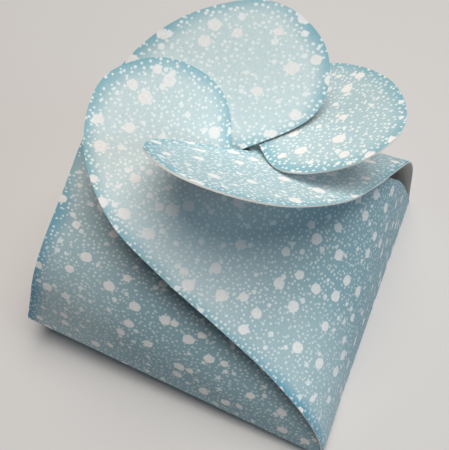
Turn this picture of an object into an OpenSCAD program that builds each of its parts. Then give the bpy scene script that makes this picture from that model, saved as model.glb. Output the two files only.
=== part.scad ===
// Twisted gift box folded from one sheet of printed card.
// A square base carries four petals. Each petal stands up from its crease as a
// wall, bends over the box and ends in a round lobe. A notch at the foot of the
// lobe hooks round the middle, so every lobe lies on the petal to its left and
// the four lock in a ring. Their pull bows the base, so that its south-west
// corner stands well off the table and its south-east corner a little.

/* [Sheet] */
// Width of the square base between its creases, mm
base_width = 60; // [50:1:120]
// Length of a lobe from its notch to its tip, measured on the flat sheet, mm
lobe_length = 25.1; // [20:0.1:27]
// Thickness of the card, mm
card_thickness = 0.3; // [0.2:0.02:0.36]
// How far the pressed crease stands out past the wall, mm
crease_lip = 0.1; // [0.06:0.02:0.3]
// How steeply the base bows up towards its south-west corner, degrees
bow_slope = 15.5; // [0:0.5:18]

/* [Smoothness] */
// Steps up the wall of a petal, from its crease to its notch
wall_rows = 24; // [12:1:30]
// Steps up the lobe of a petal, from its notch to its tip
lobe_rows = 16; // [8:1:20]
// Steps across a petal
petal_columns = 12; // [8:1:14]
// Steps along each stretch of the cut outline
outline_steps = 12; // [6:1:24]
// Steps across the bow of the base
bow_steps = 6; // [3:1:12]

/* [Hidden] */

card_colour = [0.68, 0.82, 0.86];

// Distance on the flat sheet from a crease to the notch that meets the box's axis
notch_reach_share = 0.827;
notch_reach = notch_reach_share * base_width;

// Cut outline of a petal on the flat sheet.
// The free left edge: shares of base_width across and of notch_reach up
left_edge_shares = [[0, 0], [0.033, 0.232], [0.055, 0.465], [0.057, 0.702], [0.055, 0.942]];
// The lobe, over its tip and back to the notch: shares of base_width across and
// of lobe_length up from the notch
lobe_shares = [[0.075, 0.351], [0.177, 0.778], [0.34, 1], [0.486, 0.825], [0.527, 0.417], [0.38, 0]];
// The tucked right edge runs from the notch to the crease and is drawn towards
// this point: shares of base_width across and of notch_reach up
right_edge_shares = [0.829, 0.586];

// Bends of the petals on the south, east, north and west sides in turn.
// Slope of each wall at its crease, degrees
wall_slopes = [75.4, 77, 85.8, 71.4];
// Slope of each lobe past the bend at the left and the right side, degrees
left_lobe_slopes = [48, 27, 36.3, 34.3];
right_lobe_slopes = [30.4, 47.3, 46.7, 16.5];
// Where each bend starts above the crease at the left and the right side, of base_width
left_start_shares = [0.176, 0.019, 0.118, 0.147];
right_start_shares = [0.023, 0.371, 0.02, 0.358];
// Radius of each bend at the left and the right side, of base_width
left_radius_shares = [0.611, 0.318, 0.467, 0.437];
right_radius_shares = [0.277, 0.635, 0.435, 0.865];
// How much each bend carries its lobe to the right, of the length that the bend takes up
sideways_shares = [0.754, 0.527, 0.649, 0.062];

// Bow of the base: the way in which it rises, degrees from east, then where the
// bow starts past the middle and how long it runs, of base_width
bow_heading = 250;
bow_start_share = 0.0667;
bow_run_share = 0.1667;
bow_start = bow_start_share * base_width;
bow_run = bow_run_share * base_width;

petal_count = len(wall_slopes);
degrees_per_radian = 180 / PI;

function mix(first, last, share) = first + (last - first) * share;

// A point between b and c on a smooth curve through a, b, c and d
function smooth_point(a, b, c, d, t) =
    (2 * b + (c - a) * t + (2 * a - 5 * b + 4 * c - d) * t * t + (3 * b - a - 3 * c + d) * t * t * t) / 2;

// A point on a curve from a to c that is drawn towards b
function drawn_point(a, b, c, t) = mix(mix(a, b, t), mix(b, c, t), t);

outline_points = concat(
    [for (p = left_edge_shares) [p[0] * base_width, p[1] * notch_reach]],
    [for (p = lobe_shares) [p[0] * base_width, notch_reach + p[1] * lobe_length]]
);
outline_last = len(outline_points) - 1;
crease_end = [base_width, 0];
notch_point = outline_points[outline_last];
right_edge_pull = [right_edge_shares[0] * base_width, right_edge_shares[1] * notch_reach];

// The outline carried on past one of its ends, so that the curve has a direction there
function outline_at(i) =
    i < 0 ? 2 * outline_points[0] - outline_points[1]
    : i > outline_last ? 2 * notch_point - outline_points[outline_last - 1]
    : outline_points[i];

outline_curve = concat(
    [for (i = [0:outline_last - 1], j = [0:outline_steps - 1])
        smooth_point(outline_at(i - 1), outline_at(i), outline_at(i + 1), outline_at(i + 2), j / outline_steps)],
    [notch_point]
);
curve_last = len(outline_curve) - 1;
tip_reach = max([for (p = outline_curve) p[1]]);
tip_index = [for (i = [0:curve_last]) if (outline_curve[i][1] == tip_reach) i][0];

// Both sides of a petal as places across for a height up the flat sheet
left_side = [for (i = [0:tip_index]) [outline_curve[i][1], outline_curve[i][0]]];
right_side = concat(
    [for (j = [0:outline_steps - 1])
        let (p = drawn_point(crease_end, right_edge_pull, notch_point, j / outline_steps)) [p[1], p[0]]],
    [for (i = [curve_last:-1:tip_index]) [outline_curve[i][1], outline_curve[i][0]]]
);

// Heights of the rows: even up the wall, closing up towards the round tip
row_heights = concat(
    [for (i = [0:wall_rows]) notch_reach * i / wall_rows],
    [for (i = [1:lobe_rows - 1]) notch_reach + (tip_reach - notch_reach) * sin(90 * i / lobe_rows)]
);
row_count = len(row_heights);
row_size = petal_columns + 1;

// Heights by distance from the middle, along the way in which the base rises
bow_lines = [for (i = [0:bow_steps]) bow_start + bow_run * i / bow_steps];
bow_table = concat(
    [for (d = bow_lines) [d, tan(bow_slope) * (d - bow_start) * (d - bow_start) / bow_run / 2]],
    [[base_width, tan(bow_slope) * (base_width - bow_start - bow_run / 2)]]
);

// A point moved up by the bow of the base
function lifted(p) =
    [p[0], p[1], p[2] + lookup(p[0] * cos(bow_heading) + p[1] * sin(bow_heading), bow_table)];

// Place of a point of the flat petal k once the petal is bent, in the frame of
// the south petal: wall, then an arc, then a straight lobe, blended across
function bent_point(k, across, up) =
    let (
        share = across / base_width,
        wall = wall_slopes[k],
        lobe = mix(left_lobe_slopes[k], right_lobe_slopes[k], share),
        start = mix(left_start_shares[k], right_start_shares[k], share) * base_width,
        radius = mix(left_radius_shares[k], right_radius_shares[k], share) * base_width,
        turned = min(max((up - start) / radius * degrees_per_radian, 0), wall - lobe),
        below = min(up, start),
        beyond = max(up - start - radius * (wall - lobe) / degrees_per_radian, 0),
        inward = below * cos(wall) + radius * (sin(wall) - sin(wall - turned)) + beyond * cos(lobe),
        height = below * sin(wall) + radius * (cos(wall - turned) - cos(wall)) + beyond * sin(lobe),
        lost = up - below - radius * sin(turned) - beyond * cos(wall - lobe)
    )
    [across - base_width / 2 + sideways_shares[k] * lost, inward - base_width / 2, height + card_thickness / 2];

// The same place once the petal stands on its own side of the bowed base
function set_point(k, across, up) =
    let (p = bent_point(k, across, up), turn = k * 360 / petal_count)
    lifted([p[0] * cos(turn) - p[1] * sin(turn), p[0] * sin(turn) + p[1] * cos(turn), p[2]]);

// Direction out of the printed face of petal k
function outward(k, across, up) =
    let (
        along = set_point(k, across + card_thickness, up) - set_point(k, across - card_thickness, up),
        rise = set_point(k, across, up + card_thickness) - set_point(k, across, max(up - card_thickness, 0)),
        out = cross(along, rise)
    )
    out / norm(out);

// A point on one face of the card: side 1 is the printed face and -1 the plain one
function face_point(k, across, up, side) =
    set_point(k, across, up) + outward(k, across, up) * side * card_thickness / 2;

function row_point(k, up, column, side) =
    face_point(k, mix(lookup(up, left_side), lookup(up, right_side), column / petal_columns), up, side);

// Points of one face row by row, ending with the tip
function face_points(k, side) = concat(
    [for (up = row_heights, c = [0:petal_columns]) row_point(k, up, c, side)],
    [face_point(k, outline_curve[tip_index][0], tip_reach, side)]
);

face_size = row_count * row_size + 1;
tip = face_size - 1;
top_row = (row_count - 1) * row_size;

// Triangles of the printed face, of the plain face behind it and of the cut edge
printed_faces = concat(
    [for (r = [0:row_count - 2], c = [0:petal_columns - 1])
        let (i = r * row_size + c) [i, i + row_size, i + 1]],
    [for (r = [0:row_count - 2], c = [0:petal_columns - 1])
        let (i = r * row_size + c) [i + 1, i + row_size, i + row_size + 1]],
    [for (c = [0:petal_columns - 1]) [top_row + c, tip, top_row + c + 1]]
);
plain_faces = [for (f = printed_faces) [f[2] + face_size, f[1] + face_size, f[0] + face_size]];
rim = concat(
    [for (c = [0:petal_columns]) c],
    [for (r = [1:row_count - 1]) r * row_size + petal_columns],
    [tip],
    [for (r = [row_count - 1:-1:1]) r * row_size]
);
rim_count = len(rim);
rim_faces = [for (i = [0:rim_count - 1], half = [0, 1])
    let (a = rim[i], b = rim[(i + 1) % rim_count])
    half == 0 ? [a, b, a + face_size] : [b, b + face_size, a + face_size]];

// One petal on its side of the base
module petal(k) {
    polyhedron(
        points = concat(face_points(k, 1), face_points(k, -1)),
        faces = concat(printed_faces, plain_faces, rim_faces)
    );
}

// The base out to the pressed creases: the way round it from its north-west
// corner, stopping where each line of the bow meets its east and west sides
base_reach = base_width / 2 + card_thickness / 2 + crease_lip;
function side_stop(x, line) = [x, (line - x * cos(bow_heading)) / sin(bow_heading)];
base_outline = concat(
    [[-base_reach, base_reach], [base_reach, base_reach]],
    [for (line = bow_lines) side_stop(base_reach, line)],
    [[base_reach, -base_reach], [-base_reach, -base_reach]],
    [for (i = [bow_steps:-1:0]) side_stop(-base_reach, bow_lines[i])]
);
base_size = len(base_outline);
east_stop = 2;
west_stop = base_size - 1;

// The flat panel, the narrow panels of the bow and the panel past it
base_panels = concat(
    [[0, 1, east_stop, west_stop]],
    [for (i = [0:bow_steps - 1]) [west_stop - i, east_stop + i, east_stop + i + 1, west_stop - i - 1]],
    [[for (i = [east_stop + bow_steps:west_stop - bow_steps]) i]]
);

module base_panel() {
    polyhedron(
        points = concat(
            [for (p = base_outline) lifted([p[0], p[1], card_thickness])],
            [for (p = base_outline) lifted([p[0], p[1], 0])]
        ),
        faces = concat(
            base_panels,
            [for (panel = base_panels) [for (i = [len(panel) - 1:-1:0]) panel[i] + base_size]],
            [for (i = [0:base_size - 1])
                let (next = (i + 1) % base_size) [next, i, i + base_size, next + base_size]]
        )
    );
}

// The whole folded sheet
module folded_box() {
    color(card_colour)
        union() {
            base_panel();
            for (k = [0:petal_count - 1])
                petal(k);
        }
}

folded_box();
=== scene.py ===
"""Studio scene of a twisted gift box folded from one sheet of printed card."""

import logging
import math
from dataclasses import dataclass, field
from enum import Enum
from typing import Any, Mapping, Optional, Sequence

import bpy
import numpy as np
from mathutils import Matrix, Vector


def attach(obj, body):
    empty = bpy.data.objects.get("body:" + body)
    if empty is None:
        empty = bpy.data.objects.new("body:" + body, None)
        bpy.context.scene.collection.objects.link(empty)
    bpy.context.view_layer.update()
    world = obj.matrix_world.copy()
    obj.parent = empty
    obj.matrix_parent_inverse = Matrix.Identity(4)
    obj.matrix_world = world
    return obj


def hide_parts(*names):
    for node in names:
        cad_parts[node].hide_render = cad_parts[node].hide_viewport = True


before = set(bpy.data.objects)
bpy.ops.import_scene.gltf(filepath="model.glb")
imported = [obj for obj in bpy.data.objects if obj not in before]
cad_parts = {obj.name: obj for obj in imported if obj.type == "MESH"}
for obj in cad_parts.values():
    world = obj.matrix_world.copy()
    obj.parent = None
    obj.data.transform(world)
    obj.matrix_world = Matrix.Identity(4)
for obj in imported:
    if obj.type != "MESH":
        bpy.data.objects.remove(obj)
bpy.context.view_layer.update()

LOG = logging.getLogger("twisted_gift_box")
MM = 0.001
PHOTO_LONG_SIDE_PX = 450
SENSOR_MM = 36.0
NEAR_CLIP_M = 0.001
FAR_CLIP_M = 10.0
FLAT_MAP = "FlatSheet"
EDGE_ATTRIBUTE = "free_edge_mm"
# The flat blank is about 209 mm across, so its map has a little room round it.
FLAT_MAP_SPAN_MM = 220.0
NOISE_MIDDLE = 0.5
SHARP_DEGREES = 40.0


def linear_colour(hex_code: str) -> tuple[float, float, float, float]:
    """Turns an sRGB hex colour into linear RGBA.

    Args:
        hex_code: The colour as six hex digits, with or without a hash sign.

    Returns:
        The linear red, green and blue and an alpha of 1.
    """
    digits = hex_code.lstrip("#")
    channels = [int(digits[i:i + 2], 16) / 255 for i in (0, 2, 4)]
    linear = [c / 12.92 if c <= 0.04045 else ((c + 0.055) / 1.055) ** 2.4 for c in channels]
    return (linear[0], linear[1], linear[2], 1.0)


def add_node(
    tree: bpy.types.NodeTree,
    kind: str,
    settings: Optional[Mapping[Any, Any]] = None,
    links: Optional[Mapping[Any, bpy.types.NodeSocket]] = None,
) -> bpy.types.Node:
    """Adds one shader node.

    Args:
        tree: The node tree that takes the node.
        kind: The node's type name.
        settings: Values by name. A number or a capitalised name is an input, any other name is a property.
        links: Output sockets by the name or number of the input that they feed.

    Returns:
        The new node.
    """
    node = tree.nodes.new(kind)
    for name, value in (settings or {}).items():
        if isinstance(name, int) or name[0].isupper():
            node.inputs[name].default_value = value
        else:
            setattr(node, name, value)
    for name, source in (links or {}).items():
        tree.links.new(source, node.inputs[name])
    return node


def new_material(name: str) -> tuple[bpy.types.Material, bpy.types.NodeTree]:
    """Makes an empty node material.

    Args:
        name: The material's name.

    Returns:
        The material and its node tree.
    """
    material = bpy.data.materials.new(name)
    material.use_nodes = True
    material.node_tree.nodes.clear()
    return material, material.node_tree


class CardSide(Enum):
    """The surfaces of the card, in the order of its material slots."""

    PRINTED = 0
    PLAIN = 1
    CUT = 2


@dataclass(frozen=True)
class DotLayer:
    """One size of dot in the print, scattered one to a cell of an uneven grid."""

    spacing_mm: float
    least_radius_mm: float
    most_radius_mm: float
    held_share: float
    soft_mm: float
    ragged_mm: float
    ragged_size_mm: float
    shift_mm: tuple[float, float]
    ink: str
    strength: float
    # Partly painted shade, partly a stand-in for blur: wall dots dim to this share, small ones most.
    wall_dimmed_share: float
    unevenness: float = 0.85

    def mask(self, tree: bpy.types.NodeTree, place: bpy.types.NodeSocket) -> bpy.types.NodeSocket:
        """Builds the layer's mask.

        Args:
            tree: The material's node tree.
            place: The place on the flat sheet, in millimetres.

        Returns:
            A socket that is strength inside a dot and 0 outside.
        """
        wobble = add_node(
            tree,
            "ShaderNodeTexNoise",
            {"noise_dimensions": "2D", "Scale": 1 / self.ragged_size_mm, "Detail": 1.0},
            {"Vector": place},
        )
        centred = add_node(
            tree,
            "ShaderNodeVectorMath",
            {"operation": "SUBTRACT", 1: (NOISE_MIDDLE,) * 3},
            {0: wobble.outputs["Color"]},
        )
        ragged = add_node(
            tree,
            "ShaderNodeVectorMath",
            {"operation": "MULTIPLY_ADD", 1: (2 * self.ragged_mm,) * 3},
            {0: centred.outputs["Vector"], 2: place},
        )
        shifted = add_node(
            tree,
            "ShaderNodeVectorMath",
            {"operation": "ADD", 1: (self.shift_mm[0], self.shift_mm[1], 0.0)},
            {0: ragged.outputs["Vector"]},
        )
        cells = add_node(
            tree,
            "ShaderNodeTexVoronoi",
            {
                "voronoi_dimensions": "2D",
                "feature": "F1",
                "Scale": 1 / self.spacing_mm,
                "Randomness": self.unevenness,
            },
            {"Vector": shifted.outputs["Vector"]},
        )
        chance = add_node(tree, "ShaderNodeSeparateColor", None, {"Color": cells.outputs["Color"]})
        radius = add_node(
            tree,
            "ShaderNodeMath",
            {
                "operation": "MULTIPLY_ADD",
                1: self.most_radius_mm - self.least_radius_mm,
                2: self.least_radius_mm,
            },
            {0: chance.outputs["Red"]},
        )
        inside = add_node(
            tree,
            "ShaderNodeMath",
            {"operation": "MULTIPLY_ADD", 1: -self.spacing_mm},
            {0: cells.outputs["Distance"], 2: radius.outputs["Value"]},
        )
        softened = add_node(
            tree,
            "ShaderNodeMapRange",
            {
                "interpolation_type": "SMOOTHSTEP",
                "From Min": -self.soft_mm / 2,
                "From Max": self.soft_mm / 2,
                "To Max": self.strength,
            },
            {"Value": inside.outputs["Value"]},
        )
        held = add_node(
            tree,
            "ShaderNodeMath",
            {"operation": "LESS_THAN", 1: self.held_share},
            {0: chance.outputs["Green"]},
        )
        kept = add_node(
            tree,
            "ShaderNodeMath",
            {"operation": "MULTIPLY"},
            {0: softened.outputs["Result"], 1: held.outputs["Value"]},
        )
        return kept.outputs["Value"]


@dataclass(frozen=True)
class PrintedCard:
    """Uncoated craft card, offset printed: matte, soft-edged ink, paper tooth, painted light and shade."""

    name: str = "offset_printed_card"
    pale: str = "#D3E1E4"
    cloud: str = "#B3CCD4"
    # Painted shade, partly print: the deeper ground of the walls away from their free cut edges.
    middle: str = "#90B0BB"
    deep: str = "#85B7C5"
    deep_middle: str = "#5598B4"
    # Painted light: the walls' ground is paler within these distances of their free cut edges, by this
    # share.
    painted_light_edge_mm: tuple[float, float] = (9.0, 22.0)
    painted_light_edge_share: float = 0.37
    outer_mm: tuple[float, float] = (54.0, 80.0)
    # Painted light: the lobes' ground is paler towards this heading on the flat sheet.
    painted_light_heading: float = 300.0
    # Painted light: the lobes' ground moves between these shares of cloud colour, this far either side.
    painted_light_reach_mm: float = 75.0
    painted_light_shares: tuple[float, float] = (0.8, -0.2)
    cloud_share: float = 0.4
    cloud_mm: float = 13.0
    # Paper tooth is about 0.1 mm across. It is drawn coarser, so that it shows at this size.
    tooth_mm: float = 0.24
    tooth_drawn_out: float = 2.5
    tooth_height_mm: float = 0.012
    tooth_range: tuple[float, float] = (0.25, 0.75)
    tooth_slant: float = 45.0
    grain: tuple[float, float] = (0.93, 1.05)
    bump_strength: float = 0.5
    deep_band_mm: float = 3.1
    band_start_share: float = 0.25
    roughness: float = 0.72
    ior: float = 1.47
    dots: tuple[DotLayer, ...] = (
        DotLayer(
            spacing_mm=0.88,
            least_radius_mm=0.14,
            most_radius_mm=0.25,
            held_share=0.92,
            soft_mm=0.18,
            ragged_mm=0.03,
            ragged_size_mm=0.5,
            shift_mm=(0.0, 0.0),
            ink="#F2F6F6",
            strength=0.92,
            wall_dimmed_share=0.64,
        ),
        DotLayer(
            spacing_mm=2.7,
            least_radius_mm=0.34,
            most_radius_mm=0.52,
            held_share=0.4,
            soft_mm=0.16,
            ragged_mm=0.14,
            ragged_size_mm=0.45,
            shift_mm=(37.0, 11.0),
            ink="#F1F3F3",
            strength=0.98,
            wall_dimmed_share=0.74,
        ),
        DotLayer(
            spacing_mm=5.1,
            least_radius_mm=0.66,
            most_radius_mm=1.06,
            held_share=0.78,
            soft_mm=0.18,
            ragged_mm=0.2,
            ragged_size_mm=0.7,
            shift_mm=(71.0, 53.0),
            ink="#F3F0EF",
            strength=1.0,
            wall_dimmed_share=0.86,
        ),
    )

    def build(self) -> bpy.types.Material:
        """Makes the material, with its pattern laid out in millimetres on the flat sheet.

        Returns:
            The material.
        """
        material, tree = new_material(self.name)
        flat = add_node(tree, "ShaderNodeUVMap", {"uv_map": FLAT_MAP})
        place = add_node(
            tree,
            "ShaderNodeVectorMath",
            {"operation": "SCALE", "Scale": FLAT_MAP_SPAN_MM},
            {0: flat.outputs["UV"]},
        ).outputs["Vector"]
        clouds = add_node(
            tree,
            "ShaderNodeTexNoise",
            {"noise_dimensions": "2D", "Scale": 1 / self.cloud_mm, "Detail": 3.0},
            {"Vector": place},
        ).outputs[0]
        from_middle = add_node(
            tree,
            "ShaderNodeVectorMath",
            {"operation": "SUBTRACT", 1: (FLAT_MAP_SPAN_MM / 2, FLAT_MAP_SPAN_MM / 2, 0.0)},
            {0: place},
        ).outputs["Vector"]
        edge = add_node(tree, "ShaderNodeAttribute", {"attribute_name": EDGE_ATTRIBUTE}).outputs["Fac"]
        outward = self.outward(tree, from_middle)
        # Painted light: the walls' ground pales near their free cut edges.
        lobe_or_painted_light = add_node(
            tree,
            "ShaderNodeMath",
            {"operation": "MAXIMUM"},
            {0: outward, 1: self.painted_edge_light(tree, edge)},
        )
        # Painted shade, partly print: elsewhere on the walls the ground is the deeper middle colour.
        ground = add_node(
            tree,
            "ShaderNodeMix",
            {"data_type": "RGBA", 6: linear_colour(self.middle)},
            {0: lobe_or_painted_light.outputs["Value"], 7: self.outer_ground(tree, from_middle, clouds)},
        )
        band_ink = add_node(
            tree,
            "ShaderNodeMix",
            {"data_type": "RGBA", 6: linear_colour(self.deep_middle), 7: linear_colour(self.deep)},
            {0: outward},
        )
        colour = self.darkened_edge(tree, ground.outputs[2], band_ink.outputs[2], edge, clouds)
        for layer in self.dots:
            # Partly painted shade, partly a stand-in for blur: the dots are dimmed on the walls.
            ink = add_node(tree, "ShaderNodeMapRange", {"To Min": layer.wall_dimmed_share}, {"Value": outward})
            inked_share = add_node(
                tree,
                "ShaderNodeMath",
                {"operation": "MULTIPLY"},
                {0: layer.mask(tree, place), 1: ink.outputs["Result"]},
            )
            colour = add_node(
                tree,
                "ShaderNodeMix",
                {"data_type": "RGBA", 7: linear_colour(layer.ink)},
                {0: inked_share.outputs["Value"], 6: colour},
            ).outputs[2]
        slanted = add_node(
            tree,
            "ShaderNodeMapping",
            {
                "Rotation": (0.0, 0.0, math.radians(self.tooth_slant)),
                "Scale": (1.0, 1 / self.tooth_drawn_out, 1.0),
            },
            {"Vector": place},
        )
        tooth = add_node(
            tree,
            "ShaderNodeTexNoise",
            {"noise_dimensions": "2D", "Scale": 1 / self.tooth_mm, "Detail": 2.0},
            {"Vector": slanted.outputs["Vector"]},
        ).outputs[0]
        grain = add_node(
            tree,
            "ShaderNodeMapRange",
            {
                "From Min": self.tooth_range[0],
                "From Max": self.tooth_range[1],
                "To Min": self.grain[0],
                "To Max": self.grain[1],
            },
            {"Value": tooth},
        )
        inked = add_node(
            tree,
            "ShaderNodeVectorMath",
            {"operation": "SCALE"},
            {0: colour, "Scale": grain.outputs["Result"]},
        )
        bump = add_node(
            tree,
            "ShaderNodeBump",
            {"Strength": self.bump_strength, "Distance": self.tooth_height_mm * MM},
            {"Height": tooth},
        )
        shader = add_node(
            tree,
            "ShaderNodeBsdfPrincipled",
            {"Roughness": self.roughness, "IOR": self.ior},
            {"Base Color": inked.outputs["Vector"], "Normal": bump.outputs["Normal"]},
        )
        add_node(tree, "ShaderNodeOutputMaterial", None, {"Surface": shader.outputs["BSDF"]})
        return material

    def painted_edge_light(self, tree: bpy.types.NodeTree, edge: bpy.types.NodeSocket) -> bpy.types.NodeSocket:
        """Builds painted light: a mask falling from the walls' free cut edges to 0 towards their middle.

        Args:
            tree: The material's node tree.
            edge: The distance from the nearest free edge, in millimetres.

        Returns:
            The mask.
        """
        mask = add_node(
            tree,
            "ShaderNodeMapRange",
            {
                "interpolation_type": "SMOOTHSTEP",
                "From Min": self.painted_light_edge_mm[0],
                "From Max": self.painted_light_edge_mm[1],
                "To Min": self.painted_light_edge_share,
                "To Max": 0.0,
            },
            {"Value": edge},
        )
        return mask.outputs["Result"]

    def outward(self, tree: bpy.types.NodeTree, from_middle: bpy.types.NodeSocket) -> bpy.types.NodeSocket:
        """Builds a mask that grows from 0 on the base and the walls to 1 on the lobes.

        Args:
            tree: The material's node tree.
            from_middle: The place on the flat sheet from its middle, in millimetres.

        Returns:
            The mask.
        """
        reach = add_node(tree, "ShaderNodeVectorMath", {"operation": "LENGTH"}, {0: from_middle})
        mask = add_node(
            tree,
            "ShaderNodeMapRange",
            {
                "interpolation_type": "SMOOTHSTEP",
                "From Min": self.outer_mm[0],
                "From Max": self.outer_mm[1],
            },
            {"Value": reach.outputs["Value"]},
        )
        return mask.outputs["Result"]

    def outer_ground(
        self,
        tree: bpy.types.NodeTree,
        from_middle: bpy.types.NodeSocket,
        clouds: bpy.types.NodeSocket,
    ) -> bpy.types.NodeSocket:
        """Prints the ground of the lobes, paler towards one side of the sheet as painted light.

        Args:
            tree: The material's node tree.
            from_middle: The place on the flat sheet from its middle, in millimetres.
            clouds: Soft noise that makes the ground uneven.

        Returns:
            The colour.
        """
        angle = math.radians(self.painted_light_heading)
        towards = add_node(
            tree,
            "ShaderNodeVectorMath",
            {"operation": "DOT_PRODUCT", 1: (math.cos(angle), math.sin(angle), 0.0)},
            {0: from_middle},
        )
        # Painted light: the ground is paler towards the heading and deeper away from it.
        painted_light_shift = add_node(
            tree,
            "ShaderNodeMapRange",
            {
                "From Min": -self.painted_light_reach_mm,
                "From Max": self.painted_light_reach_mm,
                "To Min": self.painted_light_shares[0],
                "To Max": self.painted_light_shares[1],
            },
            {"Value": towards.outputs["Value"]},
        )
        share = add_node(
            tree,
            "ShaderNodeMath",
            {"operation": "MULTIPLY_ADD", 1: self.cloud_share, "use_clamp": True},
            {0: clouds, 2: painted_light_shift.outputs["Result"]},
        )
        ground = add_node(
            tree,
            "ShaderNodeMix",
            {"data_type": "RGBA", 6: linear_colour(self.pale), 7: linear_colour(self.cloud)},
            {0: share.outputs["Value"]},
        )
        return ground.outputs[2]

    def darkened_edge(
        self,
        tree: bpy.types.NodeTree,
        ground: bpy.types.NodeSocket,
        band_ink: bpy.types.NodeSocket,
        edge: bpy.types.NodeSocket,
        clouds: bpy.types.NodeSocket,
    ) -> bpy.types.NodeSocket:
        """Prints a deeper, cloudy band along the free cut edges.

        Args:
            tree: The material's node tree.
            ground: The colour of the print away from the edges.
            band_ink: The colour of the band at the edges.
            edge: The distance from the nearest free edge, in millimetres.
            clouds: Soft noise that makes the band uneven.

        Returns:
            The colour with the band.
        """
        uneven = add_node(
            tree,
            "ShaderNodeMath",
            {"operation": "MULTIPLY_ADD", 1: self.deep_band_mm, 2: -NOISE_MIDDLE * self.deep_band_mm},
            {0: clouds},
        )
        reach = add_node(
            tree,
            "ShaderNodeMath",
            {"operation": "ADD"},
            {0: edge, 1: uneven.outputs["Value"]},
        )
        band = add_node(
            tree,
            "ShaderNodeMapRange",
            {
                "interpolation_type": "SMOOTHSTEP",
                "From Min": -self.band_start_share * self.deep_band_mm,
                "From Max": self.deep_band_mm,
                "To Min": 1.0,
                "To Max": 0.0,
            },
            {"Value": reach.outputs["Value"]},
        )
        mixed = add_node(
            tree,
            "ShaderNodeMix",
            {"data_type": "RGBA"},
            {0: band.outputs["Result"], 6: ground, 7: band_ink},
        )
        return mixed.outputs[2]


@dataclass(frozen=True)
class BareCard:
    """Unprinted pulp board, rolled smooth: an off-white matte face with faint fibres."""

    name: str
    tone: str
    shade: str
    fibre_mm: float = 0.5
    fibre_drawn_out: float = 4.0
    roughness: float = 0.85

    def build(self) -> bpy.types.Material:
        """Makes the material, with fibres drawn out along the sheet.

        Returns:
            The material.
        """
        material, tree = new_material(self.name)
        flat = add_node(tree, "ShaderNodeUVMap", {"uv_map": FLAT_MAP})
        drawn = add_node(
            tree,
            "ShaderNodeVectorMath",
            {
                "operation": "MULTIPLY",
                1: (FLAT_MAP_SPAN_MM, FLAT_MAP_SPAN_MM / self.fibre_drawn_out, 1.0),
            },
            {0: flat.outputs["UV"]},
        )
        fibres = add_node(
            tree,
            "ShaderNodeTexNoise",
            {"noise_dimensions": "2D", "Scale": 1 / self.fibre_mm, "Detail": 3.0},
            {"Vector": drawn.outputs["Vector"]},
        )
        tone = add_node(
            tree,
            "ShaderNodeMix",
            {"data_type": "RGBA", 6: linear_colour(self.tone), 7: linear_colour(self.shade)},
            {0: fibres.outputs[0]},
        )
        shader = add_node(
            tree,
            "ShaderNodeBsdfPrincipled",
            {"Roughness": self.roughness},
            {"Base Color": tone.outputs[2]},
        )
        add_node(tree, "ShaderNodeOutputMaterial", None, {"Surface": shader.outputs["BSDF"]})
        return material


@dataclass(frozen=True)
class StudioPaper:
    """Seamless background paper: a pale grey with no sheen."""

    name: str = "seamless_background_paper"
    tone: str = "#D5D1D1"
    shade: str = "#D1CDCD"
    cloud_m: float = 0.12
    roughness: float = 0.95
    specular: float = 0.1

    def build(self) -> bpy.types.Material:
        """Makes the material, with a very slight unevenness.

        Returns:
            The material.
        """
        material, tree = new_material(self.name)
        place = add_node(tree, "ShaderNodeTexCoord")
        clouds = add_node(
            tree,
            "ShaderNodeTexNoise",
            {"Scale": 1 / self.cloud_m, "Detail": 2.0},
            {"Vector": place.outputs["Object"]},
        )
        tone = add_node(
            tree,
            "ShaderNodeMix",
            {"data_type": "RGBA", 6: linear_colour(self.tone), 7: linear_colour(self.shade)},
            {0: clouds.outputs[0]},
        )
        shader = add_node(
            tree,
            "ShaderNodeBsdfPrincipled",
            {"Roughness": self.roughness, "Specular IOR Level": self.specular},
            {"Base Color": tone.outputs[2]},
        )
        add_node(tree, "ShaderNodeOutputMaterial", None, {"Surface": shader.outputs["BSDF"]})
        return material


@dataclass(frozen=True)
class SheetSizes:
    """The sizes that the base and the petals share, in millimetres."""

    side: float = 60.0
    card: float = 0.3

    @property
    def reach(self) -> float:
        """Half the width of the base, out to the creases."""
        return (self.side + self.card) / 2


@dataclass(frozen=True)
class BaseBow:
    """How the base bows up off the table towards its front side. Shares are of the base's side."""

    heading: float = 250.0
    slope: float = 15.5
    start_share: float = 0.0667
    run_share: float = 0.1667
    steps: int = 14

    @property
    def away(self) -> np.ndarray:
        """The direction on the table in which the base rises."""
        angle = math.radians(self.heading)
        return np.array([math.cos(angle), math.sin(angle)])

    def lift(self, points: np.ndarray, side: float) -> np.ndarray:
        """Gives how far each point stands up because of the bow.

        Args:
            points: Points, one row each, in millimetres.
            side: Side of the base.

        Returns:
            The heights in millimetres.
        """
        run = self.run_share * side
        past = np.maximum(points[:, :2] @ self.away - self.start_share * side, 0.0)
        bowed = np.where(past < run, past ** 2 / (2 * run), past - run / 2)
        return math.tan(math.radians(self.slope)) * bowed

    def lifted(self, points: np.ndarray, side: float) -> np.ndarray:
        """Returns the points moved up by the bow."""
        return points + np.column_stack([np.zeros((len(points), 2)), self.lift(points, side)])

    def lines(self, side: float) -> np.ndarray:
        """Distances from the middle of the lines at which the bow is drawn."""
        return side * (self.start_share + self.run_share * np.arange(self.steps + 1) / self.steps)


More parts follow.
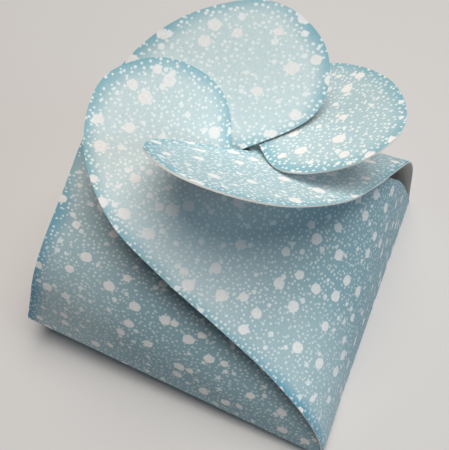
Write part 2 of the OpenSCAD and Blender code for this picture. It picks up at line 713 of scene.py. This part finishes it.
@dataclass
class SheetMesh:
    """Gathers the points and faces of the sheet before they become one piece."""

    points: list[np.ndarray] = field(default_factory=list)
    flat: list[np.ndarray] = field(default_factory=list)
    edge_mm: list[np.ndarray] = field(default_factory=list)
    faces: list[tuple[int, ...]] = field(default_factory=list)
    sides: list[int] = field(default_factory=list)

    def add_points(self, points: np.ndarray, flat: np.ndarray, edge_mm: np.ndarray) -> int:
        """Adds points.

        Args:
            points: Places of the points in the box's frame, in millimetres.
            flat: Their places on the flat sheet, in millimetres.
            edge_mm: Their distances from the nearest free cut edge.

        Returns:
            The number of the first of them.
        """
        first = sum(len(p) for p in self.points)
        self.points.append(points)
        self.flat.append(flat)
        self.edge_mm.append(edge_mm)
        return first

    def add_faces(self, faces: Sequence[tuple[int, ...]], side: CardSide) -> None:
        """Adds faces of one surface of the card."""
        self.faces.extend(faces)
        self.sides.extend([side.value] * len(faces))

    def to_mesh(self, name: str) -> bpy.types.Mesh:
        """Turns what was gathered into a mesh.

        Args:
            name: The mesh's name.

        Returns:
            The mesh, with its flat map and its distances from the free cut edges.
        """
        mesh = bpy.data.meshes.new(name)
        mesh.from_pydata((np.vstack(self.points) * MM).tolist(), [], self.faces)
        mesh.polygons.foreach_set("material_index", self.sides)
        corners = np.empty(len(mesh.loops), dtype=np.int32)
        mesh.loops.foreach_get("vertex_index", corners)
        flat = np.vstack(self.flat) / FLAT_MAP_SPAN_MM + 0.5
        layer = mesh.uv_layers.new(name=FLAT_MAP)
        layer.uv.foreach_set("vector", flat[corners].astype(np.float32).ravel())
        edge = mesh.attributes.new(EDGE_ATTRIBUTE, "FLOAT", "POINT")
        edge.data.foreach_set("value", np.concatenate(self.edge_mm).astype(np.float32))
        mesh.validate()
        mesh.shade_smooth()
        mesh.set_sharp_from_angle(angle=math.radians(SHARP_DEGREES))
        return mesh


@dataclass(frozen=True)
class BasePanel:
    """The square base, with its pressed creases rounded like a folded edge."""

    sizes: SheetSizes
    bow: BaseBow
    round_steps: int = 6

    def outline(self, inset: float) -> np.ndarray:
        """Walks round the base, stopping at each line of its bow.

        Args:
            inset: How far inside the creases the walk goes.

        Returns:
            The points: the north-west and north-east corners, down the east side, the south-east and
            south-west corners and up the west side.
        """
        reach = self.sizes.reach - inset
        away = self.bow.away
        lines = self.bow.lines(self.sizes.side)
        east = [(reach, (d - reach * away[0]) / away[1]) for d in lines]
        west = [(-reach, (d + reach * away[0]) / away[1]) for d in lines]
        corners = [(-reach, reach), (reach, reach)]
        return np.array(corners + east + [(reach, -reach), (-reach, -reach)] + west[::-1])

    def panels(self) -> list[tuple[int, ...]]:
        """Splits the outline into flat panels.

        Returns:
            The panels, each as numbers of the outline's points.
        """
        count = self.bow.steps + 1
        east = [2 + i for i in range(count)]
        south_east, south_west = 2 + count, 3 + count
        west = [3 + 2 * count - i for i in range(count)]
        panels = [(0, west[0], east[0], 1)]
        panels += [(west[i], west[i + 1], east[i + 1], east[i]) for i in range(count - 1)]
        return panels + [(west[-1], south_west, south_east, east[-1])]

    def add_to(self, sheet: SheetMesh) -> None:
        """Adds the base to the sheet: printed below and round the creases, plain above.

        Args:
            sheet: The mesh that takes the base.
        """
        card = self.sizes.card
        rings = []
        size = 0
        for step in range(self.round_steps + 1):
            angle = math.pi * (step / self.round_steps - 0.5)
            flat = self.outline(card / 2 * (1 - math.cos(angle)))
            size = len(flat)
            height = np.full((size, 1), card / 2 * (1 + math.sin(angle)))
            points = self.bow.lifted(np.hstack([flat, height]), self.sizes.side)
            rings.append(sheet.add_points(points, flat, np.full(size, self.sizes.side / 2)))
        panels = self.panels()
        sheet.add_faces([tuple(rings[0] + i for i in reversed(p)) for p in panels], CardSide.PRINTED)
        sheet.add_faces([tuple(rings[-1] + i for i in p) for p in panels], CardSide.PLAIN)
        for low, high in zip(rings, rings[1:]):
            bead = [(low + (i + 1) % size, low + i, high + i, high + (i + 1) % size) for i in range(size)]
            sheet.add_faces(bead, CardSide.PRINTED)


@dataclass(frozen=True)
class PetalBend:
    """How one petal rises from its crease and bends over.

    Pairs are for the left and the right end of the crease. Shares are of the base's side.
    """

    wall_slope: float
    lobe_slopes: tuple[float, float]
    start_shares: tuple[float, float]
    radius_shares: tuple[float, float]
    sideways_share: float

    def place(self, across: np.ndarray, up: np.ndarray, side: float) -> np.ndarray:
        """Bends points of the flat petal, in the frame of the south petal.

        Args:
            across: Distances along the crease from its left end, in millimetres.
            up: Distances up the sheet from the crease, in millimetres.
            side: Side of the base.

        Returns:
            The bent points, one row each, in millimetres.
        """
        share = across / side
        wall = math.radians(self.wall_slope)
        lobe = np.radians(self.lobe_slopes[0] + (self.lobe_slopes[1] - self.lobe_slopes[0]) * share)
        start = side * (self.start_shares[0] + (self.start_shares[1] - self.start_shares[0]) * share)
        radius = side * (self.radius_shares[0] + (self.radius_shares[1] - self.radius_shares[0]) * share)
        turned = np.clip((up - start) / radius, 0.0, wall - lobe)
        below = np.minimum(up, start)
        beyond = np.maximum(up - start - radius * (wall - lobe), 0.0)
        inward = below * math.cos(wall) + radius * (math.sin(wall) - np.sin(wall - turned))
        inward = inward + beyond * np.cos(lobe)
        height = below * math.sin(wall) + radius * (np.cos(wall - turned) - math.cos(wall))
        height = height + beyond * np.sin(lobe)
        lost = up - below - radius * np.sin(turned) - beyond * np.cos(wall - lobe)
        x = across - side / 2 + self.sideways_share * lost
        return np.stack([x, inward - side / 2, height], axis=-1)


@dataclass(frozen=True)
class PetalCut:
    """The cut outline of a petal on the flat sheet, the same for all four."""

    side: float
    lobe_mm: float = 25.1
    notch_share: float = 0.827
    left_edge_shares: tuple[tuple[float, float], ...] = (
        (0.0, 0.0), (0.033, 0.232), (0.055, 0.465), (0.057, 0.702), (0.055, 0.942),
    )
    lobe_shares: tuple[tuple[float, float], ...] = (
        (0.075, 0.351), (0.177, 0.778), (0.34, 1.0), (0.486, 0.825), (0.527, 0.417), (0.38, 0.0),
    )
    right_edge_shares: tuple[float, float] = (0.829, 0.586)
    steps: int = 24

    @property
    def notch_mm(self) -> float:
        """Distance from the crease to the notch."""
        return self.notch_share * self.side

    def curve(self) -> np.ndarray:
        """Draws a smooth curve along the left edge and the lobe, from the crease over the tip to the notch.

        Returns:
            The points, one row each, in millimetres.
        """
        wall = [(a * self.side, b * self.notch_mm) for a, b in self.left_edge_shares]
        lobe = [(a * self.side, self.notch_mm + b * self.lobe_mm) for a, b in self.lobe_shares]
        points = np.array(wall + lobe)
        ends = np.vstack([2 * points[0] - points[1], points, 2 * points[-1] - points[-2]])
        t = (np.arange(self.steps) / self.steps)[:, None]
        drawn = []
        for a, b, c, d in zip(ends[:-3], ends[1:-2], ends[2:-1], ends[3:]):
            cubic = (3 * b - a - 3 * c + d) * t ** 3
            drawn.append((2 * b + (c - a) * t + (2 * a - 5 * b + 4 * c - d) * t ** 2 + cubic) / 2)
        return np.vstack(drawn + [points[-1:]])

    def sides(self) -> tuple[np.ndarray, np.ndarray]:
        """Splits the outline at its tip.

        Returns:
            The left side and the right side, each from the crease up to the tip.
        """
        curve = self.curve()
        tip = int(np.argmax(curve[:, 1]))
        pull = np.array([self.right_edge_shares[0] * self.side, self.right_edge_shares[1] * self.notch_mm])
        end = np.array([self.side, 0.0])
        t = (np.arange(self.steps) / self.steps)[:, None]
        tucked = (1 - t) ** 2 * end + 2 * t * (1 - t) * pull + t ** 2 * curve[-1]
        return curve[:tip + 1], np.vstack([tucked, curve[tip:][::-1]])

    def edge_distance(self, across: np.ndarray, up: np.ndarray) -> np.ndarray:
        """Measures how far each flat point lies from the free edge: the left side and the lobe.

        Args:
            across: Distances along the crease from its left end, in millimetres.
            up: Distances up the sheet from the crease, in millimetres.

        Returns:
            The distances in millimetres.
        """
        ring = self.curve()
        points = np.stack([across, up], axis=-1)
        nearest = np.full(len(points), np.inf)
        for start, run in zip(ring[:-1], np.diff(ring, axis=0)):
            share = np.clip((points - start) @ run / float(run @ run), 0, 1)
            nearest = np.minimum(nearest, np.linalg.norm(points - start - share[:, None] * run, axis=1))
        return nearest


@dataclass(frozen=True)
class Petal:
    """One petal: it stands up from its crease as a wall, bends over the box and ends in a round lobe."""

    quarter: int
    sizes: SheetSizes
    bow: BaseBow
    cut: PetalCut
    bend: PetalBend
    wall_rows: int = 60
    lobe_rows: int = 40
    columns: int = 36

    def turned(self, points: np.ndarray) -> np.ndarray:
        """Turns points from the south petal's frame to this petal's side of the base.

        Args:
            points: Points of two or three coordinates, one row each.

        Returns:
            The turned points.
        """
        angle = math.radians(90 * self.quarter)
        turn = np.eye(points.shape[1])
        turn[:2, :2] = [[math.cos(angle), -math.sin(angle)], [math.sin(angle), math.cos(angle)]]
        return points @ turn.T

    def grid(self) -> tuple[np.ndarray, np.ndarray]:
        """Lays a grid over the flat petal, row by row, and adds its tip.

        Returns:
            The places across and the places up, in millimetres.
        """
        left, right = self.cut.sides()
        tip = left[-1]
        notch = self.cut.notch_mm
        wall = notch * np.arange(self.wall_rows + 1) / self.wall_rows
        climb = np.sin(np.pi / 2 * np.arange(1, self.lobe_rows) / self.lobe_rows)
        rows = np.concatenate([wall, notch + (tip[1] - notch) * climb])
        start = np.interp(rows, left[:, 1], left[:, 0])
        end = np.interp(rows, right[:, 1], right[:, 0])
        share = np.arange(self.columns + 1) / self.columns
        across = start[:, None] + (end - start)[:, None] * share
        up = np.repeat(rows[:, None], self.columns + 1, axis=1)
        return np.append(across.ravel(), tip[0]), np.append(up.ravel(), tip[1])

    def bent(self, across: np.ndarray, up: np.ndarray) -> np.ndarray:
        """Bends points of the flat petal and sets them on the bowed base."""
        points = self.bend.place(across, up, self.sizes.side) + np.array([0, 0, self.sizes.card / 2])
        return self.bow.lifted(self.turned(points), self.sizes.side)

    def add_to(self, sheet: SheetMesh) -> None:
        """Adds the petal to the sheet: its printed face, its plain face and its cut edge.

        Args:
            sheet: The mesh that takes the petal.
        """
        card = self.sizes.card
        across, up = self.grid()
        middle = self.bent(across, up)
        along = self.bent(across + card, up) - self.bent(across - card, up)
        rise = self.bent(across, up + card) - self.bent(across, np.maximum(up - card, 0))
        out = np.cross(along, rise)
        out /= np.linalg.norm(out, axis=1)[:, None]
        half = self.sizes.side / 2
        flat = self.turned(np.stack([across - half, -half - up], axis=-1))
        edge = self.cut.edge_distance(across, up)
        front = sheet.add_points(middle + out * card / 2, flat, edge)
        back = sheet.add_points(middle - out * card / 2, flat, edge)
        row = self.columns + 1
        tip = len(across) - 1
        row_count = tip // row
        top = (row_count - 1) * row
        cells = [
            (r * row + c, r * row + c + 1, (r + 1) * row + c + 1, (r + 1) * row + c)
            for r in range(row_count - 1)
            for c in range(self.columns)
        ]
        cells += [(top + c, top + c + 1, tip) for c in range(self.columns)]
        sheet.add_faces([tuple(front + i for i in cell) for cell in cells], CardSide.PRINTED)
        sheet.add_faces([tuple(back + i for i in reversed(cell)) for cell in cells], CardSide.PLAIN)
        rim = list(range(row)) + [r * row + self.columns for r in range(1, row_count)]
        rim += [tip] + [r * row for r in range(row_count - 1, 0, -1)]
        cut = [(front + a, back + a, back + b, front + b) for a, b in zip(rim, rim[1:] + rim[:1])]
        sheet.add_faces(cut, CardSide.CUT)


@dataclass
class FoldedSheet:
    """The whole box: a square base and four petals, folded from one sheet and locked in a ring."""

    piece: str = "folded_card"
    node: str = "folded_box"
    slot: str = "printed_card"
    sizes: SheetSizes = field(default_factory=SheetSizes)
    bow: BaseBow = field(default_factory=BaseBow)
    bends: tuple[PetalBend, ...] = (
        PetalBend(
            wall_slope=75.4,
            lobe_slopes=(48.0, 30.4),
            start_shares=(0.176, 0.023),
            radius_shares=(0.611, 0.277),
            sideways_share=0.754,
        ),
        PetalBend(
            wall_slope=77.0,
            lobe_slopes=(27.0, 47.3),
            start_shares=(0.019, 0.371),
            radius_shares=(0.318, 0.635),
            sideways_share=0.527,
        ),
        PetalBend(
            wall_slope=85.8,
            lobe_slopes=(36.3, 46.7),
            start_shares=(0.118, 0.02),
            radius_shares=(0.467, 0.435),
            sideways_share=0.649,
        ),
        PetalBend(
            wall_slope=71.4,
            lobe_slopes=(34.3, 16.5),
            start_shares=(0.147, 0.358),
            radius_shares=(0.437, 0.865),
            sideways_share=0.062,
        ),
    )

    def build(self) -> bpy.types.Object:
        """Builds the sheet as one piece that rides on the box's body and stands for its solid.

        Returns:
            The piece.
        """
        sheet = SheetMesh()
        BasePanel(self.sizes, self.bow).add_to(sheet)
        cut = PetalCut(self.sizes.side)
        for quarter, bend in enumerate(self.bends):
            Petal(quarter, self.sizes, self.bow, cut, bend).add_to(sheet)
        piece = bpy.data.objects.new(self.piece, sheet.to_mesh(self.piece))
        bpy.context.scene.collection.objects.link(piece)
        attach(piece, "root")
        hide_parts(self.node)
        return piece

    def dress(self, piece: bpy.types.Object) -> None:
        """Gives each surface of the card its finish.

        Args:
            piece: The folded sheet.
        """
        finishes = {
            CardSide.PRINTED: PrintedCard(),
            CardSide.PLAIN: BareCard("uncoated_card_back", "#F0F0EF", "#E5E6E6"),
            CardSide.CUT: BareCard("cut_card_edge", "#F4F2EE", "#E6E3DE", fibre_mm=0.25),
        }
        for side in CardSide:
            piece.data.materials.append(finishes[side].build())


@dataclass(frozen=True)
class SoftLight:
    """One soft lamp of the studio, aimed at the box."""

    name: str
    place_m: tuple[float, float, float]
    size_m: float
    watts: float
    tone: str

    def build(self, aim: Vector) -> bpy.types.Object:
        """Adds the lamp.

        Args:
            aim: The point that the lamp faces, in metres.

        Returns:
            The lamp.
        """
        lamp = bpy.data.lights.new(self.name, "AREA")
        lamp.shape = "DISK"
        lamp.size = self.size_m
        lamp.energy = self.watts
        lamp.color = linear_colour(self.tone)[:3]
        holder = bpy.data.objects.new(self.name, lamp)
        holder.location = self.place_m
        holder.rotation_euler = (aim - Vector(self.place_m)).to_track_quat("-Z", "Y").to_euler()
        bpy.context.scene.collection.objects.link(holder)
        return holder


@dataclass(frozen=True)
class Studio:
    """A pale paper floor, soft lamps and a camera that looks down on the box."""

    focal_px: float = 631.21
    azimuth: float = 22.309
    elevation: float = 61.76
    roll: float = 1.517
    distance_m: float = 0.11995
    look_m: tuple[float, float, float] = (-0.00209, -0.00097, 0.01712)
    floor_m: float = 1.6
    room_tone: str = "#9CC4FF"
    room_strength: float = 0.025
    lamps: tuple[SoftLight, ...] = (
        SoftLight(
            name="overhead_softbox",
            place_m=(0.02, 0.06, 0.515),
            size_m=0.42,
            watts=2.9,
            tone="#FFFBF3",
        ),
        SoftLight(
            name="window_side_fill",
            place_m=(0.4415, 0.0, 0.2547),
            size_m=0.25,
            watts=0.39,
            tone="#ABE6FF",
        ),
    )

    def build_floor(self) -> bpy.types.Object:
        """Adds the floor at the height that the box stands on.

        Returns:
            The floor.
        """
        half = self.floor_m / 2
        mesh = bpy.data.meshes.new("paper_floor")
        corners = [(-half, -half, 0.0), (half, -half, 0.0), (half, half, 0.0), (-half, half, 0.0)]
        mesh.from_pydata(corners, [], [(0, 1, 2, 3)])
        mesh.materials.append(StudioPaper().build())
        floor = bpy.data.objects.new("paper_floor", mesh)
        bpy.context.scene.collection.objects.link(floor)
        return floor

    def build_room(self) -> None:
        """Lights the room evenly from all sides."""
        world = bpy.data.worlds.new("studio_room")
        world.use_nodes = True
        tree = world.node_tree
        tree.nodes.clear()
        glow = add_node(
            tree,
            "ShaderNodeBackground",
            {"Color": linear_colour(self.room_tone), "Strength": self.room_strength},
        )
        add_node(tree, "ShaderNodeOutputWorld", None, {"Surface": glow.outputs["Background"]})
        bpy.context.scene.world = world

    def build_camera(self) -> bpy.types.Object:
        """Adds the camera at the photograph's view and makes it the scene's own.

        Returns:
            The camera.
        """
        lens = bpy.data.cameras.new("studio_camera")
        lens.sensor_width = SENSOR_MM
        lens.sensor_fit = "AUTO"
        lens.lens = self.focal_px * SENSOR_MM / PHOTO_LONG_SIDE_PX
        lens.clip_start = NEAR_CLIP_M
        lens.clip_end = FAR_CLIP_M
        azimuth, elevation, roll = (math.radians(a) for a in (self.azimuth, self.elevation, self.roll))
        back = Vector((
            math.sin(azimuth) * math.cos(elevation),
            -math.cos(azimuth) * math.cos(elevation),
            math.sin(elevation),
        ))
        right = (-back).cross(Vector((0, 0, 1))).normalized()
        up = back.cross(right)
        rolled_right = right * math.cos(roll) + up * math.sin(roll)
        rolled_up = up * math.cos(roll) - right * math.sin(roll)
        camera = bpy.data.objects.new("studio_camera", lens)
        axes = Matrix((rolled_right, rolled_up, back)).transposed().to_4x4()
        camera.matrix_world = Matrix.Translation(Vector(self.look_m) + back * self.distance_m) @ axes
        bpy.context.scene.collection.objects.link(camera)
        bpy.context.scene.camera = camera
        return camera

    def build(self) -> None:
        """Builds the camera, the floor and the lights."""
        self.build_camera()
        self.build_floor()
        self.build_room()
        for lamp in self.lamps:
            lamp.build(Vector(self.look_m))
        bpy.context.scene.view_settings.view_transform = "Standard"


def main() -> None:
    """Builds the studio and the box."""
    logging.basicConfig(level=logging.INFO, format="%(name)s: %(message)s")
    Studio().build()
    sheet = FoldedSheet()
    piece = sheet.build()
    sheet.dress(piece)
    LOG.info("%s: %d faces", piece.name, len(piece.data.polygons))


if __name__ == "__main__":
    main()
